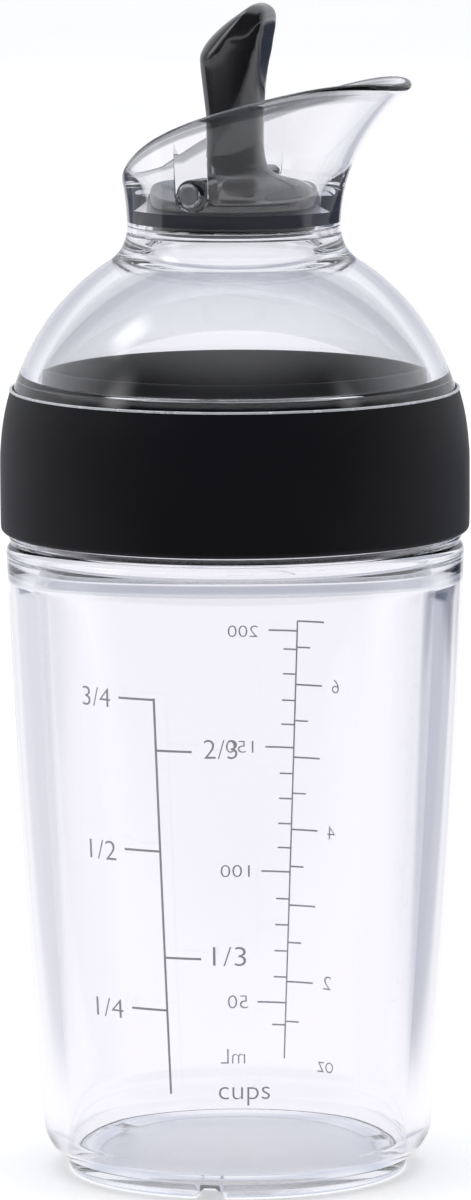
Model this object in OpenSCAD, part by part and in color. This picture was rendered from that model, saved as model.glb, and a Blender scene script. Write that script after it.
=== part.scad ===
// Salad dressing shaker bottle: a clear tapered container with a screw-on
// clear dome lid, a flared pour spout, a soft grip band and a thumb lever
// that tilts a round stopper in the spout's neck.
// Millimetres. The origin is the centre of the foot, +Z is up, and the
// spout points along +X.

/* [Container] */
// Outer radius of the wall 10 mm above the table
cont_r_low = 30.25; // [30:0.05:30.4]
// Outer radius of the wall just below the shoulder
cont_r_top = 35.1; // [34.9:0.05:35.3]
// Height of the shoulder above the table
shoulder_z = 97.7; // [97.2:0.1:97.8]
// Wall thickness of the tapered part
cont_wall = 4.15; // [3.8:0.05:4.3]
// Height of the inside floor above the table
floor_z = 4; // [3.6:0.1:5]
// Outer radius of the foot ring
foot_r = 26.5; // [26:0.1:26.8]
// Height of the foot ring
foot_h = 2.45; // [2:0.05:2.8]
// Number of drain notches across the foot ring
notches = 3; // [2:1:6]
// Outer radius of the neck that carries the thread
mouth_r = 31.2; // [31:0.05:31.3]
// Inner radius of that neck
mouth_in_r = 28.1; // [27.8:0.1:28.4]
// Height of the neck's rim
mouth_z = 117.5; // [117:0.1:117.6]

/* [Screw thread] */
// Rise of the lid for one turn
thread_lead = 4; // [3.6:0.1:4.4]
// Turns of thread on each part
thread_turns = 1.25; // [0.75:0.25:1.5]
// How far the container's thread stands out of its neck
thread_out = 1.15; // [1:0.05:1.2]
// How far the lid's thread stands out of its wall
thread_in = 0.95; // [0.8:0.05:1]

/* [Lid] */
// Radius of the dome's outer sphere
dome_r = 35.33; // [35.25:0.01:35.4]
// Height of that sphere's centre
dome_zc = 110.9; // [110.7:0.1:111.1]
// Wall thickness of the dome
dome_wall = 3; // [2.6:0.1:3.2]
// Inner radius of the gasket
gasket_in_r = 28.6; // [28.4:0.1:28.9]
// Height of the gasket's lip inside the dome
gasket_lip = 2.05; // [1.5:0.05:2.3]
// Height of the ledge under that ring
ledge_z = 122.4; // [122.3:0.1:122.6]
// Inner radius of the lid's threaded wall
lid_in_r = 32.6; // [32.55:0.05:32.8]
// Outer radius of that wall, under the band
lid_out_r = 34.35; // [34.2:0.05:34.5]
// Height of the joint between the dome and the spout
joint_z = 144.9; // [144.8:0.1:145.1]
// Radius of the pour opening through the neck
neck_bore_r = 13.6; // [13.6:0.05:13.7]

/* [Spout] */
// Outer radius of the neck
neck_r = 16.25; // [16.15:0.05:16.35]
// Distance of the pouring lip from the axis
tip_r = 29.2; // [28.5:0.1:30]
// Radius of the rim at the two sides
side_r = 16.9; // [16.8:0.05:17.2]
// Radius of the rim at the back
back_r = 17.25; // [17.1:0.05:17.5]
// Wall thickness at the neck
neck_wall = 2.65; // [2.5:0.05:2.65]
// Wall thickness at the lip
lip_wall = 1.3; // [1.1:0.05:1.5]

/* [Grip band] */
// Largest outer radius of the band
band_r = 35.93; // [35.85:0.01:36.1]
// Height of the band's lower edge
band_z0 = 99.3; // [99.2:0.1:99.6]
// Height of the band's upper edge
band_z1 = 120.9; // [120.6:0.05:121.1]

/* [Lever and stopper] */
// Distance of the pivot behind the axis
pin_x = 0.6; // [0.5:0.1:0.7]
// Height of the pivot
pin_z = 151.8; // [151.7:0.1:151.9]
// Diameter of the pivot pin
pin_d = 3.7; // [3.2:0.1:3.8]
// Diametral clearance of the lever on the pin
pin_play = 0.1; // [0.06:0.02:0.16]
// Radius of the stopper disc
disc_r = 13.2; // [12.9:0.1:13.2]
// Radius of the stopper's seal
seal_r = 13.35; // [13.25:0.05:13.4]
// Height of the lever's top
lever_top = 180; // [177:0.5:182]

/* [Hidden] */
$fn = 96;

// ---- derived sizes ----
lid_skirt_z = shoulder_z + 0.4;        // lower edge of the lid
gasket_out_r = 32;
spigot_r = 14.8;                       // ring on the dome that centres the spout
spigot_h = 1;
disc_z1 = pin_z - 1.4;                 // top of the stopper disc
disc_z0 = disc_z1 - 1.5;               // underside, on the seal
seal_h = 2.45;
seal_z0 = disc_z0 - seal_h;
slot_r = 2.65;                         // half width of the ear slots
slot_y = 15.15;                        // depth of the ear slots from the axis
ear_r = 2.4;
ear_y1 = 14.9;
ear_y0 = 10.6;

function arc(cx, cz, r, a0, a1, n) =
    [for (i = [0:n]) let (a = a0 + (a1 - a0) * i / n)
        [cx + r * cos(a), cz + r * sin(a)]];
function smooth(t) = let (u = min(1, max(0, t))) u * u * (3 - 2 * u);

// A thread ridge: a trapezoid swept along a right-handed helix.
// r0 is buried in the wall, r1 is the crest, z0 the height at angle 0.
module thread_ridge(r0, r1, z0, root_w, crest_w) {
    per_turn = 48;
    n = round(per_turn * thread_turns);
    fade = 5;
    pts = [for (i = [0:n])
        let (a = 360 * i / per_turn,
             k = min(1, min(i, n - i) / fade),
             rr = r0 + (r1 - r0) * (0.45 + 0.55 * k),
             z = z0 + thread_lead * i / per_turn)
        for (p = [[r0, -root_w / 2], [rr, -crest_w / 2],
                  [rr, crest_w / 2], [r0, root_w / 2]])
            [p[0] * cos(a), p[0] * sin(a), z + p[1]]];
    side = [for (i = [0:n - 1], k = [0:3])
        let (a = 4 * i + k, b = 4 * i + (k + 1) % 4, c = b + 4, d = a + 4)
        for (f = [[a, b, c], [a, c, d]]) f];
    ends = [[0, 2, 1], [0, 3, 2],
            [4 * n, 4 * n + 1, 4 * n + 2], [4 * n, 4 * n + 2, 4 * n + 3]];
    // the winding is turned round where the crest is inside the root
    faces = r1 > r0 ? concat(side, ends)
                    : [for (f = concat(side, ends)) [f[2], f[1], f[0]]];
    polyhedron(points = pts, faces = [for (f = faces) [f[2], f[1], f[0]]]);
}

// ---- container ----
function container_profile() = concat(
    // underside: a shallow recess inside the foot ring
    [[0, 1.3], [21.6, 1.3], [22.5, 0.95], [23.1, 0.25], [23.6, 0],
     [foot_r - 0.75, 0], [foot_r - 0.3, 0.25], [foot_r - 0.05, 0.8], [foot_r, foot_h]],
    // rounded bottom corner
    [[27.05, foot_h + 0.05]],
    arc(cont_r_low - 3.75, 6.35, 3.7, -68, 1, 8),
    // tapered wall and rounded shoulder
    arc(cont_r_top - 2, shoulder_z - 2, 2, 3, 90, 7),
    // neck
    [[mouth_r + 0.4, shoulder_z], [mouth_r, shoulder_z + 0.4],
     [mouth_r, mouth_z - 0.5], [mouth_r - 0.5, mouth_z],
     [mouth_in_r + 0.5, mouth_z], [mouth_in_r, mouth_z - 0.5]],
    // the wall runs in to the neck in one soft curve
    [[mouth_in_r, 103.5], [mouth_in_r + 0.15, 101.6], [mouth_in_r + 0.6, 99.6],
     [mouth_in_r + 1.35, 97.6], [mouth_in_r + 2.1, 95.8], [mouth_in_r + 2.6, 94.2],
     [cont_r_top - cont_wall - 0.1, 92.2]],
    // inside wall and floor
    arc(cont_r_low - cont_wall - 2.15, floor_z + 2.1, 2.1, 2, -90, 7),
    [[0, floor_z]]);

module container() {
    color([0.88, 0.89, 0.93, 0.4]) {
        difference() {
            rotate_extrude() polygon(container_profile());
            // drain notches across the foot ring
            for (i = [0:notches - 1])
                rotate([0, 0, -77 + 360 * i / notches])
                    translate([20.5, 0, -0.5])
                        rotate([90, 0, 90])
                            linear_extrude(7)
                                polygon([[-2.4, 0], [2.4, 0], [1.6, 1.2],
                                         [1.2, 1.95], [-1.2, 1.95], [-1.6, 1.2]]);
        }
        rotate([0, 0, 11]) thread_ridge(mouth_r - 0.35, mouth_r + thread_out,
                     shoulder_z + 7.6, 1.6, 0.7);
    }
}

// ---- gasket between the neck and the lid ----
module lid_gasket() {
    r0 = gasket_in_r;
    r1 = gasket_out_r;
    z0 = mouth_z + 0.1;
    z1 = ledge_z - 0.1;
    color([0.12, 0.12, 0.13])
        rotate_extrude()
            polygon([[r0, z0 + 0.5], [r0 + 0.5, z0], [r1 - 0.5, z0], [r1, z0 + 0.5],
                     [r1, z0 + 1.1], [r1 - 0.35, z0 + 1.5], [r1 - 0.35, z1 - 1.5],
                     [r1, z1 - 1.1], [r1, z1 - 0.5], [r1 - 0.5, z1],
                     // thin lip that stands up inside the dome
                     [r0 + 0.7, z1], [r0 + 0.6, z1 + 0.2], [r0 + 0.6, z1 + gasket_lip - 0.2],
                     [r0 + 0.4, z1 + gasket_lip], [r0 + 0.2, z1 + gasket_lip],
                     [r0, z1 + gasket_lip - 0.2]]);
}

// ---- dome of the lid ----
neck_fillet = 6;
neck_ctr_r = 16.4 + neck_fillet;
beta = acos(neck_ctr_r / (dome_r + neck_fillet));
neck_ctr_z = dome_zc + (dome_r + neck_fillet) * sin(beta);
dome_a0 = acos(lid_out_r / dome_r);
dome_in_r = dome_r - dome_wall;
// angles on the inner sphere at the thick ring and at the neck's bore
in_a0 = asin((ledge_z + 0.35 - dome_zc) / dome_in_r);
in_a1 = acos(neck_bore_r / dome_in_r);
function lid_profile() = concat(
    [[lid_in_r + 0.3, lid_skirt_z], [34.45, lid_skirt_z], [34.75, lid_skirt_z + 0.3],
     [34.75, band_z0 - 0.05], [lid_out_r, band_z0 - 0.05]],
    arc(0, dome_zc, dome_r, dome_a0, beta, 16),
    arc(neck_ctr_r, neck_ctr_z, neck_fillet, 180 + beta - 5.5,
        180 + asin((neck_ctr_z - joint_z) / neck_fillet), 7),
    // ring that centres the spout
    [[spigot_r, joint_z], [spigot_r, joint_z + spigot_h],
     [neck_bore_r, joint_z + spigot_h]],
    // bore of the neck and inner sphere
    [[neck_bore_r, dome_zc + dome_in_r * sin(in_a1) + 1.6],
     [neck_bore_r + 0.25, dome_zc + dome_in_r * sin(in_a1) + 0.7]],
    arc(0, dome_zc, dome_in_r, in_a1 - 2, in_a0, 13),
    [[dome_in_r * cos(in_a0) + 0.35, ledge_z],
     [gasket_out_r + 0.15, ledge_z], [gasket_out_r + 0.35, ledge_z - 0.2],
     [lid_in_r, 117], [lid_in_r, lid_skirt_z + 0.3]]);

module lid_dome() {
    color([0.90, 0.91, 0.94, 0.4]) {
        rotate_extrude() polygon(lid_profile());
        // an interrupted thread: short ridges that follow the helix
        for (i = [0:4])
            rotate([0, 0, 11 + 90 * i])
                translate([0, 0, shoulder_z + 5.6 + thread_lead * (90 * i + 20) / 360])
                    rotate_extrude(angle = 40)
                        polygon([[lid_in_r + 0.35, -0.8], [lid_in_r - thread_in, -0.35],
                                 [lid_in_r - thread_in, 0.35], [lid_in_r + 0.35, 0.8]]);
    }
}

// ---- pour spout ----
flare_z = 144;
flare_p = 2.3;
function rim_r(p) = side_r + (tip_r - side_r) * pow((1 + cos(p)) / 2, 8)
                  + (back_r - side_r) * pow((1 - cos(p)) / 2, 3);
// height of the rim over its distance along the spout
function rim_z_at(x) = let (t = x / 20)
    163.1 + 6.85 * t - 3.0 * t * t + 2.65 * pow(t, 3) - 1.5 * pow(t, 4);
function rim_z(p) = rim_z_at(rim_r(p) * cos(p));
function flare_s(p, z) = max(0, (z - flare_z) / (rim_z(p) - flare_z));
function spout_out(p, z) = neck_r + (rim_r(p) - neck_r) * pow(flare_s(p, z), flare_p);
function spout_slope(p, z) = (rim_r(p) - neck_r) * flare_p
    * pow(flare_s(p, z), flare_p - 1) / (rim_z(p) - flare_z);
function spout_wall(p, z) =
    (lip_wall + (neck_wall - lip_wall) * (1 - smooth((z - 147) / 9)))
    * sqrt(1 + pow(spout_slope(p, z), 2));
module spout_shell() {
    na = 60;
    nz = 14;
    lip = 0.45;
    m = 2 * (nz + 1) + 1;
    pts = [for (j = [0:na - 1])
        let (p = 360 * j / na, zt = rim_z(p) - lip,
             prof = concat(
                [for (k = [0:nz]) let (z = joint_z + (zt - joint_z) * pow(k / nz, 0.85))
                    [spout_out(p, z), z]],
                [[rim_r(p) - spout_wall(p, zt) / 2, rim_z(p)]],
                [for (k = [nz:-1:0]) let (z = joint_z + (zt - joint_z) * pow(k / nz, 0.85))
                    [spout_out(p, z) - spout_wall(p, z), z]]))
        for (q = prof) [q[0] * cos(p), q[0] * sin(p), q[1]]];
    faces = [for (j = [0:na - 1], k = [0:m - 1])
        let (j2 = (j + 1) % na, k2 = (k + 1) % m,
             a = j * m + k, b = j2 * m + k, c = j2 * m + k2, d = j * m + k2)
        for (f = [[a, d, c], [a, c, b]]) f];
    polyhedron(points = pts, faces = faces);
}
// outline of an ear slot, open at the top, seen along the pin
module slot_outline() {
    translate([-pin_x, pin_z]) circle(slot_r);
    translate([-pin_x - slot_r, pin_z]) square([2 * slot_r, 24]);
}
module spout() {
    color([0.90, 0.91, 0.94, 0.4])
        difference() {
            spout_shell();
            // rebate for the dome's centring ring
            translate([0, 0, joint_z - 0.5]) cylinder(r = spigot_r + 0.05, h = spigot_h + 0.55);
            // slots for the lever's ears
            for (s = [-1, 1])
                translate([0, s > 0 ? slot_y : -10, 0])
                    rotate([90, 0, 0]) linear_extrude(slot_y - 10) slot_outline();
            // bore for the pin through both walls
            translate([-pin_x, 20, pin_z]) rotate([90, 0, 0]) cylinder(d = pin_d, h = 40);
        }
}

// ---- soft grip band around the lid ----
module grip_band() {
    color([0.11, 0.11, 0.13])
        rotate_extrude()
            polygon(concat(
                [[lid_out_r, band_z0], [35.15, band_z0], [35.55, band_z0 + 0.15],
                 [35.82, band_z0 + 0.6], [band_r, band_z0 + 1.5]],
                arc(0, dome_zc, band_r, 0, asin((band_z1 - 0.5 - dome_zc) / band_r) - 0.3, 8),
                [[34.3, band_z1 - 0.08], [34.05, band_z1 + 0.02]],
                arc(0, dome_zc, dome_r, asin((band_z1 - dome_zc) / dome_r), dome_a0, 4)));
}

// ---- pivot pin ----
module pivot_pin() {
    half = 16.3;
    c = 0.4;
    color([0.72, 0.72, 0.74])
        translate([-pin_x, 0, pin_z]) rotate([90, 0, 0])
            rotate_extrude()
                polygon([[0, -half], [pin_d / 2 - c, -half], [pin_d / 2, -half + c],
                         [pin_d / 2, half - c], [pin_d / 2 - c, half], [0, half]]);
}

// ---- thumb lever with its stopper disc ----
// each row: height, back, front, half width, front and back roundness
lever_rows = [
    [-0.1, -9.6, 12.8, 10.5, 2.0, 2.0], [0.15, -8.9, 12.6, 10.25, 2.0, 2.0],
    [0.55, -7.9, 12.1, 9.6, 2.0, 2.0], [1.15, -6.4, 11.3, 8.5, 2.0, 2.0],
    [1.6, -5.3, 10.4, 7.5, 2.0, 2.2], [2.0, -4.6, 9.3, 6.5, 2.0, 2.6],
    [2.4, -4.1, 8.1, 5.6, 2.1, 3.0], [3.0, -3.75, 6.75, 4.9, 2.2, 3.4],
    [4.2, -3.6, 5.6, 4.4, 2.3, 3.8], [5.6, -3.57, 4.95, 4.1, 2.3, 4.0],
    [8, -3.57, 4.6, 4.0, 2.3, 4.0], [12, -3.6, 4.6, 4.0, 2.4, 4.0],
    [15, -3.95, 4.7, 4.0, 2.6, 4.0], [18, -4.35, 4.85, 4.0, 3.2, 4.0],
    [20.5, -4.65, 5.1, 4.0, 4.0, 4.0], [21.6, -4.65, 5.3, 4.0, 4.5, 3.6],
    [22.6, -4.35, 5.45, 4.0, 5.0, 3.0], [23.6, -3.75, 5.6, 4.0, 5.0, 2.7],
    [24.6, -2.85, 5.75, 4.0, 5.0, 2.6], [25.6, -1.75, 5.95, 3.95, 5.0, 2.6],
    [26.6, -0.5, 6.1, 3.85, 5.0, 2.6], [27.5, 0.8, 6.15, 3.7, 4.6, 2.6],
    [28.3, 2.0, 6.05, 3.4, 4.0, 2.5], [28.9, 2.9, 5.75, 2.9, 3.4, 2.4],
    [29.35, 3.6, 5.3, 2.1, 2.8, 2.2], [29.6, 4.1, 4.8, 1.0, 2.2, 2.0]];
// where the front and back halves of a row meet
function row_mid(w) = min(w[2] - 1.2, max(w[1] + 0.35,
    w[0] > 22 ? 0.4 + (w[0] - 22) * 0.5 : 0.4));
module lever_stem() {
    na = 36;
    n = len(lever_rows);
    top = lever_rows[n - 1][0];
    pts = [for (i = [0:n - 1])
        let (w = lever_rows[i], z = disc_z1 + w[0] * (lever_top - disc_z1) / top,
             mid = row_mid(w))
        for (j = [0:na - 1])
            let (a = 360 * j / na, c = cos(a), s = sin(a),
                 e = c > 0 ? w[4] : w[5], h = c > 0 ? w[2] - mid : mid - w[1])
            [mid + h * sign(c) * pow(abs(c), 2 / e),
             w[3] * sign(s) * pow(abs(s), 2 / e), z]];
    side = [for (i = [0:n - 2], j = [0:na - 1])
        let (a = i * na + j, b = i * na + (j + 1) % na, c = b + na, d = a + na)
        for (f = [[a, d, c], [a, c, b]]) f];
    faces = concat(side, [[for (j = [0:na - 1]) j]],
                   [[for (j = [na - 1:-1:0]) (n - 1) * na + j]]);
    polyhedron(points = pts, faces = faces);
}
// outline of an ear, seen along the pin
module ear_outline() {
    translate([-pin_x, pin_z]) {
        circle(ear_r);
        square([ear_r, ear_r - 1.2]);
        square([ear_r - 1.2, ear_r]);
        translate([ear_r - 1.2, ear_r - 1.2]) circle(1.2);
    }
}
module lever() {
    color([0.13, 0.13, 0.15])
        difference() {
            union() {
                // disc, and the hub that the seal sits on
                translate([0, 0, disc_z0]) cylinder(r = disc_r, h = disc_z1 - disc_z0);
                translate([0, 0, seal_z0]) cylinder(r = 9.5, h = seal_h + 0.5);
                lever_stem();
                for (s = [-1, 1]) {
                    translate([0, s > 0 ? ear_y1 : -ear_y0, 0])
                        rotate([90, 0, 0]) linear_extrude(ear_y1 - ear_y0) ear_outline();
                    translate([-pin_x - ear_r, s > 0 ? ear_y0 : -12.7, disc_z1 - 0.6])
                        cube([2 * ear_r, 12.7 - ear_y0, pin_z - disc_z1 + 0.6]);
                }
            }
            translate([-pin_x, 20, pin_z]) rotate([90, 0, 0])
                cylinder(d = pin_d + pin_play, h = 40);
        }
}

// ---- soft seal under the disc ----
module stopper_seal() {
    color([0.10, 0.13, 0.22])
        rotate_extrude()
            polygon([[9.55, seal_z0 + 0.02], [seal_r - 0.6, seal_z0 + 0.02],
                     [seal_r - 0.15, seal_z0 + 0.25], [seal_r, seal_z0 + 0.7],
                     [seal_r, disc_z0 - 0.5], [seal_r - 0.25, disc_z0 - 0.1],
                     [seal_r - 0.6, disc_z0 - 0.02], [9.55, disc_z0 - 0.02]]);
}

// ---- plate that holds the seal ----
module seal_retainer() {
    color([0.20, 0.20, 0.22])
        rotate_extrude()
            polygon([[0, seal_z0 - 1.35], [11.9, seal_z0 - 1.35], [12.4, seal_z0 - 0.9],
                     [12.4, seal_z0 - 0.2], [12.2, seal_z0], [0, seal_z0]]);
}

container();
lid_gasket();
lid_dome();
spout();
grip_band();
pivot_pin();
lever();
stopper_seal();
seal_retainer();
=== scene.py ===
import math

import bmesh
import bpy
import numpy as np
from mathutils import Matrix, Vector


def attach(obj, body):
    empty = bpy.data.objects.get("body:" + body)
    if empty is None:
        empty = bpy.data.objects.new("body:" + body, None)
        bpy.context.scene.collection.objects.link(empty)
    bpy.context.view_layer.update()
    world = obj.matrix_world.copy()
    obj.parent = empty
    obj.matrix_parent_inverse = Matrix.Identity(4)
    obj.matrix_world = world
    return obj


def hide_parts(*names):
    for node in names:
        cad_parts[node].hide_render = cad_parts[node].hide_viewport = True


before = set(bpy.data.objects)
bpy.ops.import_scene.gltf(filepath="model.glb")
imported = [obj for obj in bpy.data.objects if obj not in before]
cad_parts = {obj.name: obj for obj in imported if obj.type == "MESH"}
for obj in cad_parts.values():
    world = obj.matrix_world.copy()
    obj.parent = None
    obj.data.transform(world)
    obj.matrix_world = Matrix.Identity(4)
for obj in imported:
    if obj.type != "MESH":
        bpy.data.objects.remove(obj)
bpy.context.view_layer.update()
scene = bpy.context.scene
MM = 0.001

# ------------------------------------------------------------------ camera
AZ, EL, ROLL = math.radians(22.5), math.radians(7.9), math.radians(0.25)
FOCAL_PX, DIST, TARGET_Z = 8200.0, 1258.7, 88.3
sa, ca, se, ce = math.sin(AZ), math.cos(AZ), math.sin(EL), math.cos(EL)
V_BACK = np.array([sa * ce, -ca * ce, se])
V_FWD = -V_BACK
V_RIGHT = np.array([ca, sa, 0.0])
V_UP = np.array([-sa * se, ca * se, ce])
V_AWAY = np.array([-sa, ca, 0.0])
EYE = np.array([0, 0, TARGET_Z]) + DIST * V_BACK


def make_camera():
    data = bpy.data.cameras.new("camera")
    data.sensor_fit, data.sensor_width = "AUTO", 36.0
    data.lens = 36.0 * FOCAL_PX / 1200.0
    data.clip_start, data.clip_end = 0.05, 60
    cam = bpy.data.objects.new("camera", data)
    scene.collection.objects.link(cam)
    r = V_RIGHT * math.cos(ROLL) - V_UP * math.sin(ROLL)
    u = V_RIGHT * math.sin(ROLL) + V_UP * math.cos(ROLL)
    m = Matrix.Identity(4)
    for i in range(3):
        m[i][0], m[i][1], m[i][2], m[i][3] = r[i], u[i], V_BACK[i], EYE[i] * MM
    cam.matrix_world = m
    scene.camera = cam


make_camera()


# ------------------------------------------------------------------ materials
def principled(name, **kw):
    m = bpy.data.materials.new(name)
    m.use_nodes = True
    b = m.node_tree.nodes["Principled BSDF"]
    for k, v in kw.items():
        b.inputs[k.replace("_", " ")].default_value = v
    return m, m.node_tree, b


def noise(nt, scale, detail=3.0, stretch=None):
    tc = nt.nodes.new("ShaderNodeTexCoord")
    vec = tc.outputs["Object"]
    if stretch:
        mp = nt.nodes.new("ShaderNodeMapping")
        mp.inputs["Scale"].default_value = stretch
        nt.links.new(vec, mp.inputs["Vector"])
        vec = mp.outputs["Vector"]
    n = nt.nodes.new("ShaderNodeTexNoise")
    n.inputs["Scale"].default_value = scale
    n.inputs["Detail"].default_value = detail
    nt.links.new(vec, n.inputs["Vector"])
    return n.outputs[0]


def ranged(nt, value, lo, hi, f0=0.3, f1=0.7):
    n = nt.nodes.new("ShaderNodeMapRange")
    n.inputs["From Min"].default_value, n.inputs["From Max"].default_value = f0, f1
    n.inputs["To Min"].default_value, n.inputs["To Max"].default_value = lo, hi
    nt.links.new(value, n.inputs["Value"])
    return n.outputs[0]


def bump(nt, height, strength, distance, after=None):
    n = nt.nodes.new("ShaderNodeBump")
    n.inputs["Strength"].default_value = strength
    n.inputs["Distance"].default_value = distance
    nt.links.new(height, n.inputs["Height"])
    if after is not None:
        nt.links.new(after, n.inputs["Normal"])
    return n.outputs["Normal"]


def tinted(nt, b, c0, c1, value):
    n = nt.nodes.new("ShaderNodeMix")
    n.data_type = "RGBA"
    n.inputs[6].default_value, n.inputs[7].default_value = (*c0, 1), (*c1, 1)
    nt.links.new(value, n.inputs[0])
    nt.links.new(n.outputs[2], b.inputs["Base Color"])


def math_node(nt, op, a, b=0.0, c=0.0, clamp=False):
    n = nt.nodes.new("ShaderNodeMath")
    n.operation, n.use_clamp = op, clamp
    for k, v in enumerate((a, b, c)):
        if isinstance(v, (int, float)):
            n.inputs[k].default_value = v
        else:
            nt.links.new(v, n.inputs[k])
    return n.outputs[0]


def step_node(nt, v, e0, e1):
    """Smooth step of v from 0 at e0 to 1 at e1."""
    n = nt.nodes.new("ShaderNodeMapRange")
    n.interpolation_type = "SMOOTHSTEP"
    n.inputs["From Min"].default_value, n.inputs["From Max"].default_value = e0, e1
    nt.links.new(v, n.inputs["Value"])
    return n.outputs[0]


def object_mm(nt):
    tc, sc, sep = (nt.nodes.new("ShaderNodeTexCoord"), nt.nodes.new("ShaderNodeVectorMath"),
                   nt.nodes.new("ShaderNodeSeparateXYZ"))
    sc.operation = "SCALE"
    sc.inputs["Scale"].default_value = 1000.0
    nt.links.new(tc.outputs["Object"], sc.inputs[0])
    nt.links.new(sc.outputs[0], sep.inputs[0])
    return sep.outputs


def clear_plastic(name, color, rough, wave):
    m, nt, b = principled(name, Base_Color=(*color, 1), Roughness=rough, IOR=1.53,
                          Transmission_Weight=1.0)
    # faint moulding flow in the surface, and a few softer patches
    slow = noise(nt, 26.0, 1.0, (1, 1, 0.45))
    nt.links.new(bump(nt, slow, wave, 0.0006), b.inputs["Normal"])
    r = ranged(nt, noise(nt, 55.0, 2.0), rough * 0.4, rough * 1.8)
    return m, nt, b, r


M_CONT, nt, b, r = clear_plastic("clear_container", (0.974, 0.972, 0.988), 0.012, 0.05)
X, Y, Z = object_mm(nt)
rad = math_node(nt, "SQRT", math_node(nt, "MULTIPLY_ADD", X, X, math_node(nt, "MULTIPLY", Y, Y)))
# the floor is slightly frosted from the tool, so what lies under it looks smudged
smudge = math_node(nt, "MULTIPLY", step_node(nt, Z, 4.6, 4.1), step_node(nt, rad, 24.6, 21.5))
nt.links.new(math_node(nt, "MULTIPLY_ADD", smudge, 0.2, r), b.inputs["Roughness"])
M_LID, nt, b, r = clear_plastic("clear_lid", (0.948, 0.95, 0.966), 0.008, 0.03)
nt.links.new(r, b.inputs["Roughness"])


def spout_plastic_painted_rim():
    """Clear plastic with painted shade and painted highlight bands along the rim: its colour is darkened, with a few
    bright lines, where the rolled lip gathers the light.
    """
    m, nt, b, r = clear_plastic("clear_spout_painted_rim", (0.95, 0.952, 0.968), 0.008, 0.03)
    nt.links.new(r, b.inputs["Roughness"])
    X, Y, Z = object_mm(nt)
    t = math_node(nt, "MULTIPLY", X, 0.05)
    h = math_node(nt, "MULTIPLY_ADD", t, -1.5, 2.65)
    h = math_node(nt, "MULTIPLY_ADD", h, t, -3.0)
    h = math_node(nt, "MULTIPLY_ADD", h, t, 6.85)
    h = math_node(nt, "MULTIPLY_ADD", h, t, 163.1)
    d = math_node(nt, "MULTIPLY", math_node(nt, "SUBTRACT", h, Z), 1 / 4.0, clamp=True)
    # painted shade and painted highlight: the base colour runs through dark and bright bands by depth under the rim
    ramp = nt.nodes.new("ShaderNodeValToRGB")
    cr = ramp.color_ramp
    painted_band_stops = ((0.0, 0.42), (0.03, 0.80), (0.06, 0.85), (0.09, 0.46), (0.20, 0.40), (0.27, 0.44), (0.30, 0.70),
             (0.33, 0.48), (0.47, 0.52), (0.56, 1.0))
    while len(cr.elements) < len(painted_band_stops):
        cr.elements.new(0.5)
    for el, (pos, v) in zip(cr.elements, painted_band_stops):
        el.position, el.color = pos, (v * 0.955 - 0.012 * (1 - v), v * 0.96, min(1, v * 0.968 + 0.02 * (1 - v)), 1)
    nt.links.new(d, ramp.inputs[0])
    # the painted rim bands fade out towards the pour tip
    painted_rim_mask = step_node(nt, X, 27.5, 19.0)
    mix = nt.nodes.new("ShaderNodeMix")
    mix.data_type = "RGBA"
    mix.inputs[6].default_value = (0.95, 0.952, 0.968, 1)
    nt.links.new(painted_rim_mask, mix.inputs[0])
    nt.links.new(ramp.outputs[0], mix.inputs[7])
    nt.links.new(mix.outputs[2], b.inputs["Base Color"])
    return m


M_SPOUT_PAINTED_RIM = spout_plastic_painted_rim()
# painted highlight: a pale, partly clear ring stands for the bright line of light along the band's top edge
M_PAINTED_HIGHLIGHT, nt, b = principled("band_painted_highlight", Base_Color=(0.80, 0.82, 0.85, 1), Transmission_Weight=0.35, IOR=1.5,
                           Specular_IOR_Level=0.5)
nt.links.new(ranged(nt, noise(nt, 300.0, 3.0), 0.15, 0.35), b.inputs["Roughness"])


def rubber(name, c0, c1, rough, grain, spec=0.5):
    m, nt, b = principled(name, Specular_IOR_Level=spec)
    tinted(nt, b, c0, c1, ranged(nt, noise(nt, 60.0, 4.0), 0.0, 1.0))
    nt.links.new(ranged(nt, noise(nt, 35.0, 3.0), rough - 0.04, rough + 0.05), b.inputs["Roughness"])
    fine = noise(nt, 5200.0, 2.0)
    soft = noise(nt, 700.0, 3.0)
    n1 = bump(nt, fine, grain, 0.00002)
    nt.links.new(bump(nt, soft, grain * 0.5, 0.00002, n1), b.inputs["Normal"])
    return m


M_BAND = rubber("soft_black", (0.0052, 0.0052, 0.0072), (0.0072, 0.0072, 0.0096), 0.46, 0.35, 0.12)
M_GASKET = rubber("gasket_black", (0.006, 0.006, 0.007), (0.011, 0.011, 0.012), 0.5, 0.2)
M_SEAL = rubber("seal_navy", (0.0055, 0.009, 0.024), (0.009, 0.014, 0.036), 0.34, 0.15)
M_PLATE = rubber("plate_black", (0.016, 0.017, 0.019), (0.03, 0.031, 0.034), 0.4, 0.1)


def gloss_black():
    m, nt, b = principled("gloss_black", Specular_IOR_Level=0.45, Coat_Weight=0.8, Coat_Roughness=0.04,
                          Coat_IOR=1.7)
    tinted(nt, b, (0.0065, 0.0065, 0.0075), (0.011, 0.011, 0.0125), ranged(nt, noise(nt, 90.0, 3.0), 0, 1))
    nt.links.new(ranged(nt, noise(nt, 120.0, 4.0), 0.10, 0.19), b.inputs["Roughness"])
    nt.links.new(bump(nt, noise(nt, 240.0, 2.0), 0.06, 0.00005), b.inputs["Normal"])
    return m


M_LEVER = gloss_black()


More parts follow.
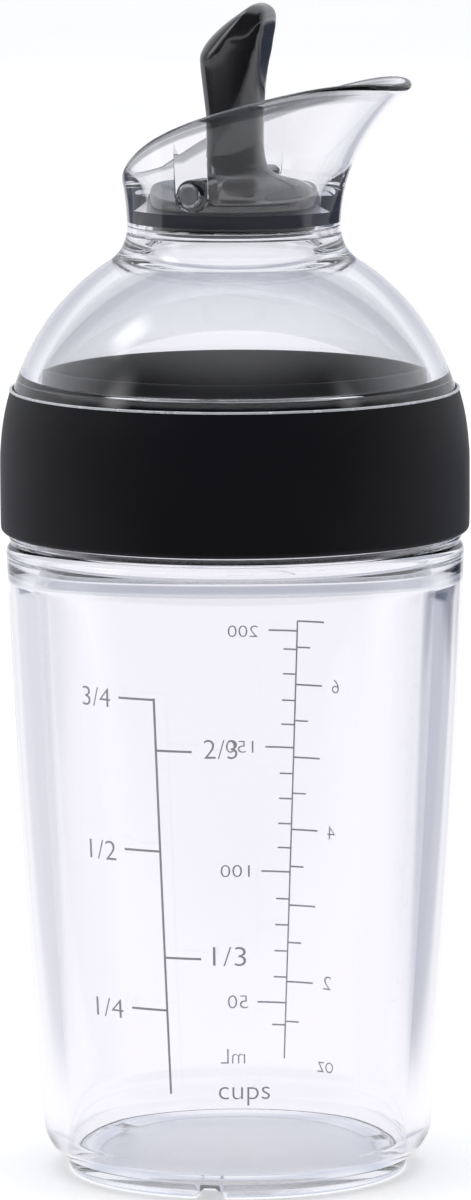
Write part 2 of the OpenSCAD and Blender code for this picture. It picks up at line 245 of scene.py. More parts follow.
def steel():
    m, nt, b = principled("pin_steel", Metallic=1.0)
    tinted(nt, b, (0.50, 0.50, 0.52), (0.66, 0.66, 0.67), ranged(nt, noise(nt, 900.0, 3.0), 0, 1))
    # turning marks round the pin's own axis
    tc = nt.nodes.new("ShaderNodeTexCoord")
    mp = nt.nodes.new("ShaderNodeMapping")
    mp.inputs["Location"].default_value = (0.0006, 0, -0.1518)
    w = nt.nodes.new("ShaderNodeTexWave")
    w.wave_type, w.rings_direction = "RINGS", "Y"
    w.inputs["Scale"].default_value = 1900.0
    w.inputs["Distortion"].default_value = 0.6
    nt.links.new(tc.outputs["Object"], mp.inputs["Vector"])
    nt.links.new(mp.outputs["Vector"], w.inputs["Vector"])
    nt.links.new(bump(nt, w.outputs[1], 0.12, 0.00002), b.inputs["Normal"])
    nt.links.new(ranged(nt, noise(nt, 500.0, 2.0), 0.16, 0.28), b.inputs["Roughness"])
    return m


M_PIN = steel()


def ink(name, c):
    m, nt, b = principled(name, Specular_IOR_Level=0.3)
    tinted(nt, b, (c, c, c * 1.05), (c * 1.2, c * 1.2, c * 1.25), ranged(nt, noise(nt, 1500.0, 3.0), 0, 1))
    nt.links.new(ranged(nt, noise(nt, 2500.0, 2.0), 0.45, 0.6), b.inputs["Roughness"])
    return m


M_INK, M_INK_BACK = ink("ink_grey", 0.28), ink("ink_pale", 0.46)


# ------------------------------------------------------------------ mesh helpers
def finish_mesh(name, verts, faces, mat, smooth=30.0, merge=0.0, keep_sharp=True):
    me = bpy.data.meshes.new(name)
    me.from_pydata([tuple(float(c) * MM for c in v) for v in verts], [], [tuple(f) for f in faces])
    bm = bmesh.new()
    bm.from_mesh(me)
    if merge:
        bmesh.ops.remove_doubles(bm, verts=bm.verts, dist=merge * MM)
    bmesh.ops.recalc_face_normals(bm, faces=bm.faces)
    bm.to_mesh(me)
    bm.free()
    shade(me, smooth)
    o = bpy.data.objects.new(name, me)
    me.materials.append(mat)
    scene.collection.objects.link(o)
    return o


def shade(me, smooth):
    me.polygons.foreach_set("use_smooth", [True] * len(me.polygons))
    me.set_sharp_from_angle(angle=math.radians(smooth))
    me.update()


def rounded(pts, closed, seg=6):
    """A profile whose corners (r, z, radius) become arcs, with support points beside them."""
    n, out = len(pts), []
    for i, (x, z, rad) in enumerate(pts):
        if rad <= 0 or (not closed and i in (0, n - 1)):
            out.append((x, z))
            continue
        p = np.array([x, z])
        a = np.array(pts[i - 1][:2]) - p
        b = np.array(pts[(i + 1) % n][:2]) - p
        la, lb = np.linalg.norm(a), np.linalg.norm(b)
        a, b = a / la, b / lb
        half = math.acos(max(-1, min(1, float(a @ b)))) / 2
        t = min(rad / math.tan(half), 0.48 * la, 0.48 * lb)
        rr = t * math.tan(half)
        c = p + (a + b) / np.linalg.norm(a + b) * (rr / math.sin(half))
        s, e = p + a * t - c, p + b * t - c
        a0 = math.atan2(s[1], s[0])
        da = (math.atan2(e[1], e[0]) - a0 + math.pi) % (2 * math.pi) - math.pi
        ea, eb = min(0.12, 0.3 * (la - t)), min(0.12, 0.3 * (lb - t))
        out.append(tuple(p + a * (t + ea)))
        for k in range(seg + 1):
            q = a0 + da * k / seg
            out.append((c[0] + rr * math.cos(q), c[1] + rr * math.sin(q)))
        out.append(tuple(p + b * (t + eb)))
    return out


def catmull(pts, sub):
    p = [np.array(q, float) for q in pts]
    p = [2 * p[0] - p[1]] + p + [2 * p[-1] - p[-2]]
    out = []
    for i in range(1, len(p) - 2):
        for k in range(sub):
            t = k / sub
            out.append(0.5 * ((2 * p[i]) + (p[i + 1] - p[i - 1]) * t
                              + (2 * p[i - 1] - 5 * p[i] + 4 * p[i + 1] - p[i + 2]) * t * t
                              + (3 * p[i] - p[i - 1] - 3 * p[i + 1] + p[i + 2]) * t ** 3))
    out.append(p[-2])
    return out


def revolve_data(prof, n, poles=False, disp=None):
    prof = np.array([q[:2] for q in prof], float)
    ph = np.arange(n) * 2 * math.pi / n
    body = prof[1:-1] if poles else prof
    m = len(body)
    R = np.repeat(body[None, :, 0], n, 0)
    Z = np.repeat(body[None, :, 1], n, 0)
    if disp is not None:
        R, Z = disp(np.repeat(ph[:, None], m, 1), R, Z)
    V = np.stack([R * np.cos(ph)[:, None], R * np.sin(ph)[:, None], Z], -1).reshape(-1, 3)
    faces = []
    last = m - 1 if poles else m
    for j in range(n):
        j2 = (j + 1) % n
        for k in range(last):
            k2 = (k + 1) % m
            faces.append((j * m + k, j2 * m + k, j2 * m + k2, j * m + k2))
    if poles:
        V = np.vstack([V, [[0, 0, prof[0, 1]], [0, 0, prof[-1, 1]]]])
        for j in range(n):
            j2 = (j + 1) % n
            faces.append((n * m, j2 * m, j * m))
            faces.append((n * m + 1, j * m + m - 1, j2 * m + m - 1))
    return V, faces


def revolve(name, prof, mat, n=256, poles=False, disp=None, smooth=30.0):
    V, F = revolve_data(prof, n, poles, disp)
    return finish_mesh(name, V, F, mat, smooth)


def merged(parts):
    V, F, k = [], [], 0
    for v, f in parts:
        V.append(np.asarray(v, float))
        F += [tuple(i + k for i in q) for q in f]
        k += len(v)
    return np.vstack(V), F


def cut(o, cutter, smooth):
    md = o.modifiers.new("cut", "BOOLEAN")
    md.operation, md.object, md.solver = "DIFFERENCE", cutter, "EXACT"
    bpy.context.view_layer.update()
    dg = bpy.context.evaluated_depsgraph_get()
    me = bpy.data.meshes.new_from_object(o.evaluated_get(dg))
    o.modifiers.clear()
    old, mats = o.data, list(o.data.materials)
    o.data = me
    me.name = o.name
    me.materials.clear()
    me.materials.append(mats[0])
    bpy.data.meshes.remove(old)
    cm = cutter.data
    bpy.data.objects.remove(cutter)
    bpy.data.meshes.remove(cm)
    shade(me, smooth)


def piece(o, body, slot, *nodes):
    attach(o, body)
    if nodes:
        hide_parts(*nodes)
    return o


def sm(t):
    t = np.clip(t, 0, 1)
    return t * t * (3 - 2 * t)


# ------------------------------------------------------------------ container
def r_out(z):
    t = np.clip((np.asarray(z, float) - 10) / 85.0, 0, 1)
    return 30.25 + 0.0565 * (np.asarray(z, float) - 10) + 1.32 * t * (1 - t)


WALL = 4.12
SHOULDER = 97.7
LEAD = 4.0


def ridge(d, root, crest):
    return sm((root / 2 - np.abs(d)) / (root / 2 - crest / 2))


def container_disp(ph, R, Z):
    # thread on the neck
    deg = np.degrees(ph)
    on = (np.abs(R - 31.2) < 0.02) & (Z > 103) & (Z < 113)
    h = np.zeros_like(R)
    for k in (0, 1, 2):
        A = deg - 11 + 360 * k - 360 * (deg > 371)
        z = SHOULDER + 7.6 + LEAD * A / 360
        ends = sm(A / 30 + 0.2) * sm((450 - A) / 30 + 0.2) * (A > -4) * (A < 454)
        h = np.maximum(h, ridge(Z - z, 1.7, 0.7) * ends)
    R = np.where(on, R + 1.15 * h, R)
    # three drain notches across the foot ring
    for c in (-77, 43, 163):
        d = (deg - c + 180) % 360 - 180
        w = sm((5.6 - np.abs(d)) / 2.6)
        foot = (Z < 1.3) & (R < 26.7)
        Z = np.where(foot, Z + (1.3 - Z) * w, Z)
    return R, Z


def container_profile():
    p = [(0, 1.3, 0), (21.9, 1.3, 0.7), (23.2, 0, 0.45), (25.9, 0, 0.5), (26.62, 2.5, 0.2)]
    corner = [(27.15, 2.58), (27.62, 2.85), (28.2, 3.38), (28.8, 4.15), (29.28, 4.95), (29.6, 5.7),
              (29.82, 6.5), (29.97, 7.4), (30.08, 8.3), (30.17, 9.2)]
    p += [(q[0], q[1], 0) for q in catmull(corner, 3)]
    p += [(float(r_out(z)), z, 0) for z in np.arange(10.2, 94.6, 2.0)]
    p += [(35.22, SHOULDER, 1.9), (31.2, SHOULDER, 0.45)]
    p += [(31.2, z, 0) for z in np.arange(102.6, 113.2, 0.2)]
    p += [(31.2, 117.5, 0.55), (28.1, 117.5, 0.55)]
    r_low = float(r_out(91.5)) - WALL
    p += [(28.1 + (r_low - 28.1) * float(sm((104.5 - z) / 13.0)), z, 0) for z in np.arange(104.5, 91.4, -0.5)]
    p += [(float(r_out(z)) - WALL, z, 0) for z in np.arange(89.5, 8.4, -2.5)]
    p += [(float(r_out(8)) - WALL, 8.0, 0), (float(r_out(4)) - WALL, 4.0, 2.1), (12, 4.03, 0), (0, 4.03, 0)]
    return rounded(p, False, 7)


container = revolve("container_shell", container_profile(), M_CONT, n=320, poles=True, disp=container_disp)
piece(container, "container", "clear_container", "container")

# ------------------------------------------------------------------ lid dome
DOME_R, DOME_Z, DOME_IN = 35.33, 110.9, 32.33
JOINT = 144.9


def lid_disp(ph, R, Z):
    deg = np.degrees(ph)
    on = (np.abs(R - 32.6) < 0.02) & (Z > 101) & (Z < 111)
    h = np.zeros_like(R)
    for i in range(5):
        d = (deg - (31 + 90 * i) + 180) % 360 - 180
        z = SHOULDER + 5.6 + LEAD * (90 * i + 20) / 360
        h = np.maximum(h, ridge(Z - z, 1.6, 0.7) * sm((20.5 - np.abs(d)) / 2.5))
    return np.where(on, R - 0.95 * h, R), Z


def lid_profile():
    p = [(32.6, 98.1, 0.25), (34.75, 98.1, 0.35), (34.75, 99.26, 0.12), (34.35, 99.26, 0.04)]
    a0 = math.degrees(math.acos(34.35 / DOME_R))
    beta = math.degrees(math.acos(22.4 / (DOME_R + 6)))
    for a in np.linspace(a0, beta, 44):
        q = math.radians(a)
        p.append((DOME_R * math.cos(q), DOME_Z + DOME_R * math.sin(q), 0))
    cz = DOME_Z + (DOME_R + 6) * math.sin(math.radians(beta))
    end = 180 + math.degrees(math.asin((cz - JOINT) / 6))
    for a in np.linspace(180 + beta - 3, end + 3, 14):
        q = math.radians(a)
        p.append((22.4 + 6 * math.cos(q), cz + 6 * math.sin(q), 0))
    p += [(16.42, JOINT, 0.14), (14.8, JOINT, 0.1), (14.8, 145.9, 0.12), (13.6, 145.9, 0.15)]
    p += [(13.6, 142.2, 0), (13.62, 141.6, 0), (13.7, 141.1, 0), (13.9, 140.62, 0), (14.25, 140.15, 0)]
    for a in np.linspace(62.3, 21.4, 40):
        q = math.radians(a)
        p.append((DOME_IN * math.cos(q), DOME_Z + DOME_IN * math.sin(q), 0))
    p += [(30.25, 122.4, 0.2), (32.3, 122.4, 0.25), (32.6, 117.2, 0.6)]
    p += [(32.6, z, 0) for z in np.arange(110.8, 101.4, -0.2)]
    return rounded(p, True, 5)


dome = revolve("lid_dome_shell", lid_profile(), M_LID, n=320, disp=lid_disp)
piece(dome, "lid", "clear_lid", "lid_dome")

# ------------------------------------------------------------------ spout
NECK, TIP, SIDE, BACK = 16.25, 29.2, 16.9, 17.25


def rim_r(p):
    return SIDE + (TIP - SIDE) * ((1 + math.cos(p)) / 2) ** 8 + (BACK - SIDE) * ((1 - math.cos(p)) / 2) ** 3


def rim_z(p):
    t = rim_r(p) * math.cos(p) / 20
    return 163.1 + 6.85 * t - 3.0 * t * t + 2.65 * t ** 3 - 1.5 * t ** 4


def s_out(p, z):
    s = max(0.0, (z - 144) / (rim_z(p) - 144))
    return NECK + (rim_r(p) - NECK) * s ** 2.3


def s_slope(p, z):
    s = max(0.0, (z - 144) / (rim_z(p) - 144))
    return (rim_r(p) - NECK) * 2.3 * s ** 1.3 / (rim_z(p) - 144)


def s_wall(z):
    return 1.3 + 1.35 * (1 - float(sm((z - 147) / 9)))


def s_in(p, z):
    return s_out(p, z) - s_wall(z) * math.sqrt(1 + s_slope(p, z) ** 2)


def spout_data(n=300, nz=56, nl=8):
    z0, zi = JOINT + 0.03, 146.0
    V = []
    for j in range(n):
        p = 2 * math.pi * j / n
        zt = rim_z(p)
        w = s_wall(zt)
        k = s_slope(p, zt)
        q = math.sqrt(1 + k * k)
        zc = zt - w / 2 / q
        zo, zn = zc - w / 2 * k / q, zc + w / 2 * k / q
        prof = [(s_out(p, z0) - 0.14, z0), (s_out(p, z0 + 0.14), z0 + 0.14)]
        for i in range(1, nz + 1):
            z = z0 + 0.14 + (zo - z0 - 0.14) * (i / nz)
            prof.append((s_out(p, z), z))
        po = np.array(prof[-1])
        pi = np.array([s_in(p, zn), zn])
        c, e = (po + pi) / 2, (po - pi) / 2
        f = np.array([-e[1], e[0]])
        if f[1] < 0:
            f = -f
        for i in range(1, nl):
            a = math.pi * i / nl
            prof.append(tuple(c + e * math.cos(a) + f * math.sin(a)))
        for i in range(0, nz + 1):
            z = zn + (zi + 0.2 - zn) * (i / nz)
            prof.append((s_in(p, z), z))
        prof += [(13.62, zi + 0.06), (13.68, zi), (14.8, zi), (14.85, zi - 0.05), (14.85, z0 + 0.08), (14.92, z0)]
        V.append([(r * math.cos(p), r * math.sin(p), z) for r, z in prof])
    V = np.array(V)
    m = V.shape[1]
    F = [(j * m + k, ((j + 1) % n) * m + k, ((j + 1) % n) * m + (k + 1) % m, j * m + (k + 1) % m)
         for j in range(n) for k in range(m)]
    return V.reshape(-1, 3), F


PX, PZ = -0.6, 151.8


def prism_y(outline, y0, y1):
    """Closed prism: outline of (x, z) points, from y0 to y1."""
    n = len(outline)
    V = [(x, y0, z) for x, z in outline] + [(x, y1, z) for x, z in outline]
    F = [tuple(range(n)), tuple(range(2 * n - 1, n - 1, -1))]
    F += [(i, (i + 1) % n, n + (i + 1) % n, n + i) for i in range(n)]
    return V, F


spout = finish_mesh("spout_shell", *spout_data(), M_SPOUT_PAINTED_RIM, 28)
u_shape = [(PX + 2.65 * math.cos(a), PZ + 2.65 * math.sin(a)) for a in np.linspace(-math.pi, 0, 33)]
u_shape += [(PX + 2.65, 178.0), (PX - 2.65, 178.0)]
for sgn in (-1, 1):
    V, F = prism_y(u_shape, sgn * 9.0, sgn * 15.15)
    cut(spout, finish_mesh("cutter", V, F, M_SPOUT_PAINTED_RIM, 30), 28)
ring = [(PX + 1.88 * math.cos(a), PZ + 1.88 * math.sin(a)) for a in np.linspace(0, 2 * math.pi, 65)[:-1]]
for sgn in (-1, 1):
    V, F = prism_y(ring, sgn * 12.0, sgn * 20.0)
    cut(spout, finish_mesh("cutter", V, F, M_SPOUT_PAINTED_RIM, 30), 28)
piece(spout, "lid", "clear_lid", "spout")

# ------------------------------------------------------------------ band and gasket
def band_profile():
    out = [(35.93, 100.9), (35.95, 103.5), (35.95, 107.5), (35.93, 111.0), (35.80, 113.0), (35.66, 114.5),
           (35.46, 116.0), (35.20, 117.5), (34.86, 119.0), (34.56, 120.1)]
    p = [(34.33, 99.32, 0.05), (35.86, 99.32, 0.85)]
    p += [(q[0], q[1], 0) for q in catmull(out, 4)]
    p += [(34.30, 120.98, 0.5)]
    for z in np.arange(121.0, 119.3, -0.2):
        p.append((math.sqrt(DOME_R ** 2 - (z - DOME_Z) ** 2) - 0.03, float(z), 0))
    p += [(34.33, 119.1, 0)]
    return rounded(p, True, 6)


band = revolve("grip_band_soft", band_profile(), M_BAND, n=320)
piece(band, "lid", "soft_black", "grip_band")

# the thin pale ring on top of the band is a painted highlight
painted_highlight_ring = revolve("band_edge_line", rounded([(34.02, 120.9, 0.1), (34.46, 120.9, 0.12), (34.44, 121.24, 0.14),
                                          (34.0, 121.28, 0.1)], True, 4), M_PAINTED_HIGHLIGHT, n=320)
piece(painted_highlight_ring, "lid", "clear_lid")

gasket = revolve("lid_gasket_ring", rounded([
    (28.62, 117.62, 0.5), (31.98, 117.62, 0.5), (31.98, 118.9, 0.2), (31.6, 119.3, 0.2), (31.6, 120.6, 0.2),
    (31.98, 121.0, 0.2), (31.98, 122.28, 0.3), (29.3, 122.28, 0.15), (29.2, 124.35, 0.22), (28.62, 124.35, 0.25)],
    True, 5), M_GASKET, n=256)
piece(gasket, "gasket", "gasket_black", "lid_gasket")

# ------------------------------------------------------------------ pivot pin
V, F = revolve_data(rounded([(0, -16.3, 0), (1.42, -16.3, 0.06), (1.85, -15.87, 0.08), (1.85, 15.87, 0.08),
                             (1.42, 16.3, 0.06), (0, 16.3, 0)], False, 3), 64, poles=True)
V = np.stack([V[:, 0] + PX, V[:, 2], V[:, 1] + PZ], -1)
pin = finish_mesh("pivot_pin_steel", V, F, M_PIN, 25)
piece(pin, "lid", "pin_steel", "pivot_pin")

# ------------------------------------------------------------------ lever
ROWS = [
    (-0.1, -9.6, 12.8, 10.5, 2.0, 2.0), (0.15, -8.9, 12.6, 10.25, 2.0, 2.0),
    (0.55, -7.9, 12.1, 9.6, 2.0, 2.0), (1.15, -6.4, 11.3, 8.5, 2.0, 2.0),
    (1.6, -5.3, 10.4, 7.5, 2.0, 2.2), (2.0, -4.6, 9.3, 6.5, 2.0, 2.6),
    (2.4, -4.1, 8.1, 5.6, 2.1, 3.0), (3.0, -3.75, 6.75, 4.9, 2.2, 3.4),
    (4.2, -3.6, 5.6, 4.4, 2.3, 3.8), (5.6, -3.57, 4.95, 4.1, 2.3, 4.0),
    (8, -3.57, 4.6, 4.0, 2.3, 4.0), (12, -3.6, 4.6, 4.0, 2.4, 4.0),
    (15, -3.95, 4.7, 4.0, 2.6, 4.0), (18, -4.35, 4.85, 4.0, 3.2, 4.0),
    (20.5, -4.65, 5.1, 4.0, 4.0, 4.0), (21.6, -4.65, 5.3, 4.0, 4.5, 3.6),
    (22.6, -4.35, 5.45, 4.0, 5.0, 3.0), (23.6, -3.75, 5.6, 4.0, 5.0, 2.7),
    (24.6, -2.85, 5.75, 4.0, 5.0, 2.6), (25.6, -1.75, 5.95, 3.95, 5.0, 2.6),
    (26.6, -0.5, 6.1, 3.85, 5.0, 2.6), (27.5, 0.8, 6.15, 3.7, 4.6, 2.6),
    (28.3, 2.0, 6.05, 3.4, 4.0, 2.5), (28.9, 2.9, 5.75, 2.9, 3.4, 2.4),
    (29.35, 3.6, 5.3, 2.1, 2.8, 2.2), (29.58, 4.1, 4.8, 1.0, 2.2, 2.0), (29.62, 4.35, 4.55, 0.3, 2.0, 2.0)]


def stem_data(na=112, sub=5):
    rows = catmull(ROWS, sub)
    V = []
    for h, back, front, half, ef, eb in rows:
        mid = min(front - min(1.2, 0.5 * (front - back)), max(back + 0.35, 0.4 + max(0.0, h - 22) * 0.5))
        mid = min(max(mid, back + 0.05), front - 0.05)
        for j in range(na):
            a = 2 * math.pi * j / na
            c, s = math.cos(a), math.sin(a)
            e = ef if c > 0 else eb
            w = front - mid if c > 0 else mid - back
            V.append((mid + w * math.copysign(abs(c) ** (2 / e), c),
                      half * math.copysign(abs(s) ** (2 / e), s), 150.4 + h))
    n = len(rows)
    F = [(i * na + j, i * na + (j + 1) % na, (i + 1) * na + (j + 1) % na, (i + 1) * na + j)
         for i in range(n - 1) for j in range(na)]
    F += [tuple(range(na)), tuple(range((n - 1) * na, n * na))]
    return V, F


def ear_data(s):
    """An ear round the pin, with its bore; s is the side."""
    n = 96
    V = []
    for j in range(n):
        a = 2 * math.pi * j / n
        d = np.array([math.cos(a), math.sin(a)])
        rho = 2.4
        if d[0] > 0 and d[1] > 0:
            if 2.4 * d[1] / d[0] <= 1.2:
                rho = 2.4 / d[0]
            elif 2.4 * d[0] / d[1] <= 1.2:
                rho = 2.4 / d[1]
            else:
                b = 1.2 * (d[0] + d[1])
                rho = b + math.sqrt(b * b - 2 * 1.44 + 1.44)
        y0, y1, f = 10.5, 14.9, 0.28
        prof = [(1.9, y0), (rho, y0), (rho, y1 - f - 0.1), (rho, y1 - f)]
        prof += [(rho - f + f * math.cos(t), y1 - f + f * math.sin(t)) for t in np.linspace(0.3, 1.27, 4)]
        prof += [(rho - f, y1), (rho - f - 0.05, y1), (2.05, y1), (1.9, y1 - 0.12)]
        V += [(PX + r * d[0], s * y, PZ + r * d[1]) for r, y in prof]
    m = len(V) // n
    F = [(j * m + k, ((j + 1) % n) * m + k, ((j + 1) % n) * m + (k + 1) % m, j * m + (k + 1) % m)
         for j in range(n) for k in range(m)]
    return V, F


def web_data(s):
    """The short web that carries an ear on the disc."""
    o = rounded([(PX - 2.4, 149.7, 0), (PX + 2.4, 149.7, 0), (PX + 2.4, 151.5, 0), (PX - 2.4, 151.5, 0)], True)
    return prism_y(o, s * 10.5, s * 12.7)


disc = revolve_data(rounded([(0, 146.47, 0), (9.5, 146.47, 0.1), (9.5, 148.93, 0.05), (13.2, 148.93, 0.25),
                             (13.2, 150.4, 0.5), (11.5, 150.44, 0), (0, 150.44, 0)], False, 5), 192, poles=True)
V, F = merged([stem_data(), disc] + [ear_data(s) for s in (-1, 1)] + [web_data(s) for s in (-1, 1)])
lever = finish_mesh("thumb_lever", V, F, M_LEVER, 40)
piece(lever, "lever", "gloss_black", "lever")

def seal_disp(ph, R, Z):
    fit = np.vectorize(lambda p, z: s_in(p, max(z, 145.9)) + 0.03)(ph, Z)
    return np.where(R > 13.55, np.where((Z > 146.6) & (Z < 148.75), fit, R), R), Z


SEAL = [(9.6, 146.47, 0.1), (13.1, 146.47, 0.2), (13.45, 146.56, 0)]
SEAL += [(13.6, z, 0) for z in (146.65, 146.95, 147.3, 147.7, 148.1, 148.45, 148.7)]
SEAL += [(13.4, 148.84, 0), (13.1, 148.9, 0.1), (9.6, 148.9, 0.05)]
seal = revolve("stopper_seal_ring", rounded(SEAL, True, 5), M_SEAL, n=256, disp=seal_disp)
piece(seal, "lever", "seal_navy", "stopper_seal")
plate = revolve("seal_retainer_plate", rounded([
    (0, 145.12, 0), (9.0, 145.12, 0), (12.4, 145.12, 0.45), (12.4, 146.45, 0.2), (0, 146.45, 0)],
    False, 5), M_PLATE, n=192, poles=True)
piece(plate, "lever", "plate_black", "seal_retainer")


# ------------------------------------------------------------------ printed scales
def hit(px, py, back=False):
    """Angle and height where the line of sight through a photo pixel meets the container's outside."""
    dx, dy = px - 235.5, 600.0 - py
    cr, sr = math.cos(ROLL), math.sin(ROLL)
    x, y = dx * cr + dy * sr, -dx * sr + dy * cr
    d = V_FWD * FOCAL_PX + V_RIGHT * x + V_UP * y
    R, p = 33.0, None
    for _ in range(12):
        a = d[0] ** 2 + d[1] ** 2
        b = EYE[0] * d[0] + EYE[1] * d[1]
        c = EYE[0] ** 2 + EYE[1] ** 2 - R * R
        q = math.sqrt(max(0.0, b * b - a * c))
        t = (-b + q) / a if back else (-b - q) / a
        p = EYE + d * t
        R = float(r_out(p[2]))
    return math.atan2(p[1], p[0]), float(p[2])


def on_wall(phi, z, off):
    r = float(r_out(z)) + off
    return (r * math.cos(phi), r * math.sin(phi), z)


LOW, HIGH = 0.03, 0.065


def strip(p0, p1, width):
    """A printed line on the wall between two (angle, height) points."""
    R = float(r_out((p0[1] + p1[1]) / 2))
    du, dz = (p1[0] - p0[0]) * R, p1[1] - p0[1]
    L = math.hypot(du, dz)
    nu, nz = -dz / L * width / 2, du / L * width / 2
    n = max(2, int(L / 1.2) + 1)
    V, F = [], []
    for i in range(n + 1):
        t = i / n
        phi, z = p0[0] + (p1[0] - p0[0]) * t, p0[1] + dz * t
        for sgn, off in ((-1, LOW), (1, LOW), (1, HIGH), (-1, HIGH)):
            V.append(on_wall(phi + sgn * nu / R, z + sgn * nz, off))
    for i in range(n):
        for k in range(4):
            a, b = 4 * i + k, 4 * i + (k + 1) % 4
            F.append((a, b, b + 4, a + 4))
    F += [(0, 1, 2, 3), (4 * n, 4 * n + 3, 4 * n + 2, 4 * n + 1)]
    return V, F


def glyphs(text, thin):
    cu = bpy.data.curves.new("glyphs", "FONT")
    cu.body, cu.size, cu.resolution_u = text, 1.0, 5
    cu.offset, cu.extrude, cu.fill_mode = thin, 0.01, "BOTH"
    ob = bpy.data.objects.new("glyphs", cu)
    scene.collection.objects.link(ob)
    bpy.context.view_layer.update()
    ev = ob.evaluated_get(bpy.context.evaluated_depsgraph_get())
    me = ev.to_mesh()
    V = np.array([v.co[:] for v in me.vertices], float)
    F = [tuple(q.vertices) for q in me.polygons]
    ev.to_mesh_clear()
    bpy.data.objects.remove(ob)
    bpy.data.curves.remove(cu)
    return V, F


def label(text, x0, y0, x1, y1, back=False, thin=-0.012):
    V, F = glyphs(text, thin)
    lo, hi = V.min(0), V.max(0)
    xc, yc = (x0 + x1) / 2, (y0 + y1) / 2
    pc, zc = hit(xc, yc, back)
    pa, _ = hit(x0, yc, back)
    pb, _ = hit(x1, yc, back)
    _, za = hit(xc, y0, back)
    _, zb = hit(xc, y1, back)
    R = float(r_out(zc))
    d = (pb - pa + math.pi) % (2 * math.pi) - math.pi
    w, h = abs(d) * R, abs(za - zb)
    out = []
    for v in V:
        u = (v[0] - (lo[0] + hi[0]) / 2) / (hi[0] - lo[0]) * w
        z = (v[1] - (lo[1] + hi[1]) / 2) / (hi[1] - lo[1]) * h
        k = (v[2] - lo[2]) / max(1e-9, hi[2] - lo[2])
        out.append(on_wall(pc + u / R, zc + z, LOW + (HIGH - LOW) * k))
    return out, F


def level_tick(xi, yi, xo, width, back=False):
    """A level tick: its inner end at a pixel, its outer end at another column."""
    pi, z = hit(xi, yi, back)
    po, _ = hit(xo, yi, back)
    return strip((pi, z), (po, z), width)


front = [strip(hit(153.8, 698.5), hit(171.2, 1093.7), 0.34)]
for xi, yi, xo in ((154.4, 700, 118.7), (156.2, 750.6, 191.7), (160.2, 851.5, 125), (165.2, 957.6, 201.3),
                   (167.5, 1010.4, 132.5)):
    front.append(level_tick(xi, yi, xo, 0.34))
for t, x0, y0, x1, y1 in (("3/4", 82.6, 687, 109.6, 706), ("2/3", 203.7, 740, 237.3, 759),
                          ("1/2", 90, 840, 115.7, 859), ("1/3", 213, 947, 246, 966),
                          ("1/4", 96.7, 998, 123, 1016.5), ("cups", 219, 1087, 270, 1105.5)):
    front.append(label(t, x0, y0, x1, y1))
V, F = merged(front)
cups = finish_mesh("scale_cups", V, F, M_INK, 40, merge=1e-5)
piece(cups, "container", "ink_grey")

rear = []
TOP, BOT = (303.4, 618.0), (289.3, 1055.0)


def line_x(y):
    return TOP[0] + (BOT[0] - TOP[0]) * (y - TOP[1]) / (BOT[1] - TOP[1])


rear.append(strip(hit(*TOP, True), hit(*BOT, True), 0.27))
for y in (628.5, 745, 869, 999.5):
    rear.append(level_tick(line_x(y), y, line_x(y) - 31.5, 0.27, True))
for y in (647, 671.7, 698, 722, 771, 796, 821, 845, 896, 922, 948, 974, 1021.6):
    rear.append(level_tick(line_x(y), y, line_x(y) - 14.5, 0.25, True))
for y in (618.6, 682, 754.5, 826.5, 902, 978.3):
    rear.append(level_tick(line_x(y), y, line_x(y) + 29.5, 0.27, True))
for y in (644.7, 718, 790.4, 863.4, 939.3, 1018):
    rear.append(level_tick(line_x(y), y, line_x(y) + 15, 0.25, True))
for t, x0, y0, x1, y1 in (("200", 227, 623, 260, 634.5), ("150", 225, 738, 255, 750), ("100", 219, 862, 251, 874),
                          ("50", 227, 992, 249, 1005), ("6", 342, 677.5, 350, 691), ("4", 337.5, 823.5, 346, 837),
                          ("2", 333, 973.5, 342, 987), ("mL", 219, 1045.5, 246, 1060), ("oz", 327, 1059, 345, 1069.5)):
    rear.append(label(t, x0, y0, x1, y1, True))
V, F = merged(rear)
metric = finish_mesh("scale_metric", V, F, M_INK_BACK, 40, merge=1e-5)
piece(metric, "container", "ink_grey")


# ------------------------------------------------------------------ stage and light
FLOOR_A, FLOOR_B, FLOOR_EMIT, FLOOR_MORE = (0.72, 0.72, 0.722), (0.74, 0.74, 0.742), 0.20, 0.16


def stage_plane():
    me = bpy.data.meshes.new("floor")
    s = 14.0
    me.from_pydata([(-s, -s, 0), (s, -s, 0), (s, s, 0), (-s, s, 0)], [], [(0, 1, 2, 3)])
    o = bpy.data.objects.new("floor", me)
    scene.collection.objects.link(o)
    m, nt, b = principled("floor_paper", Specular_IOR_Level=0.1)
    tinted(nt, b, FLOOR_A, FLOOR_B, ranged(nt, noise(nt, 9.0, 3.0), 0, 1))
    b.inputs["Roughness"].default_value = 0.75
    b.inputs["Emission Color"].default_value = (1, 1, 1, 1)
    lp, mr = nt.nodes.new("ShaderNodeLightPath"), nt.nodes.new("ShaderNodeMapRange")
    mr.inputs["To Min"].default_value, mr.inputs["To Max"].default_value = FLOOR_EMIT, FLOOR_EMIT + FLOOR_MORE
    nt.links.new(lp.outputs["Is Camera Ray"], mr.inputs["Value"])
    nt.links.new(mr.outputs[0], b.inputs["Emission Strength"])
    me.materials.append(m)


stage_plane()


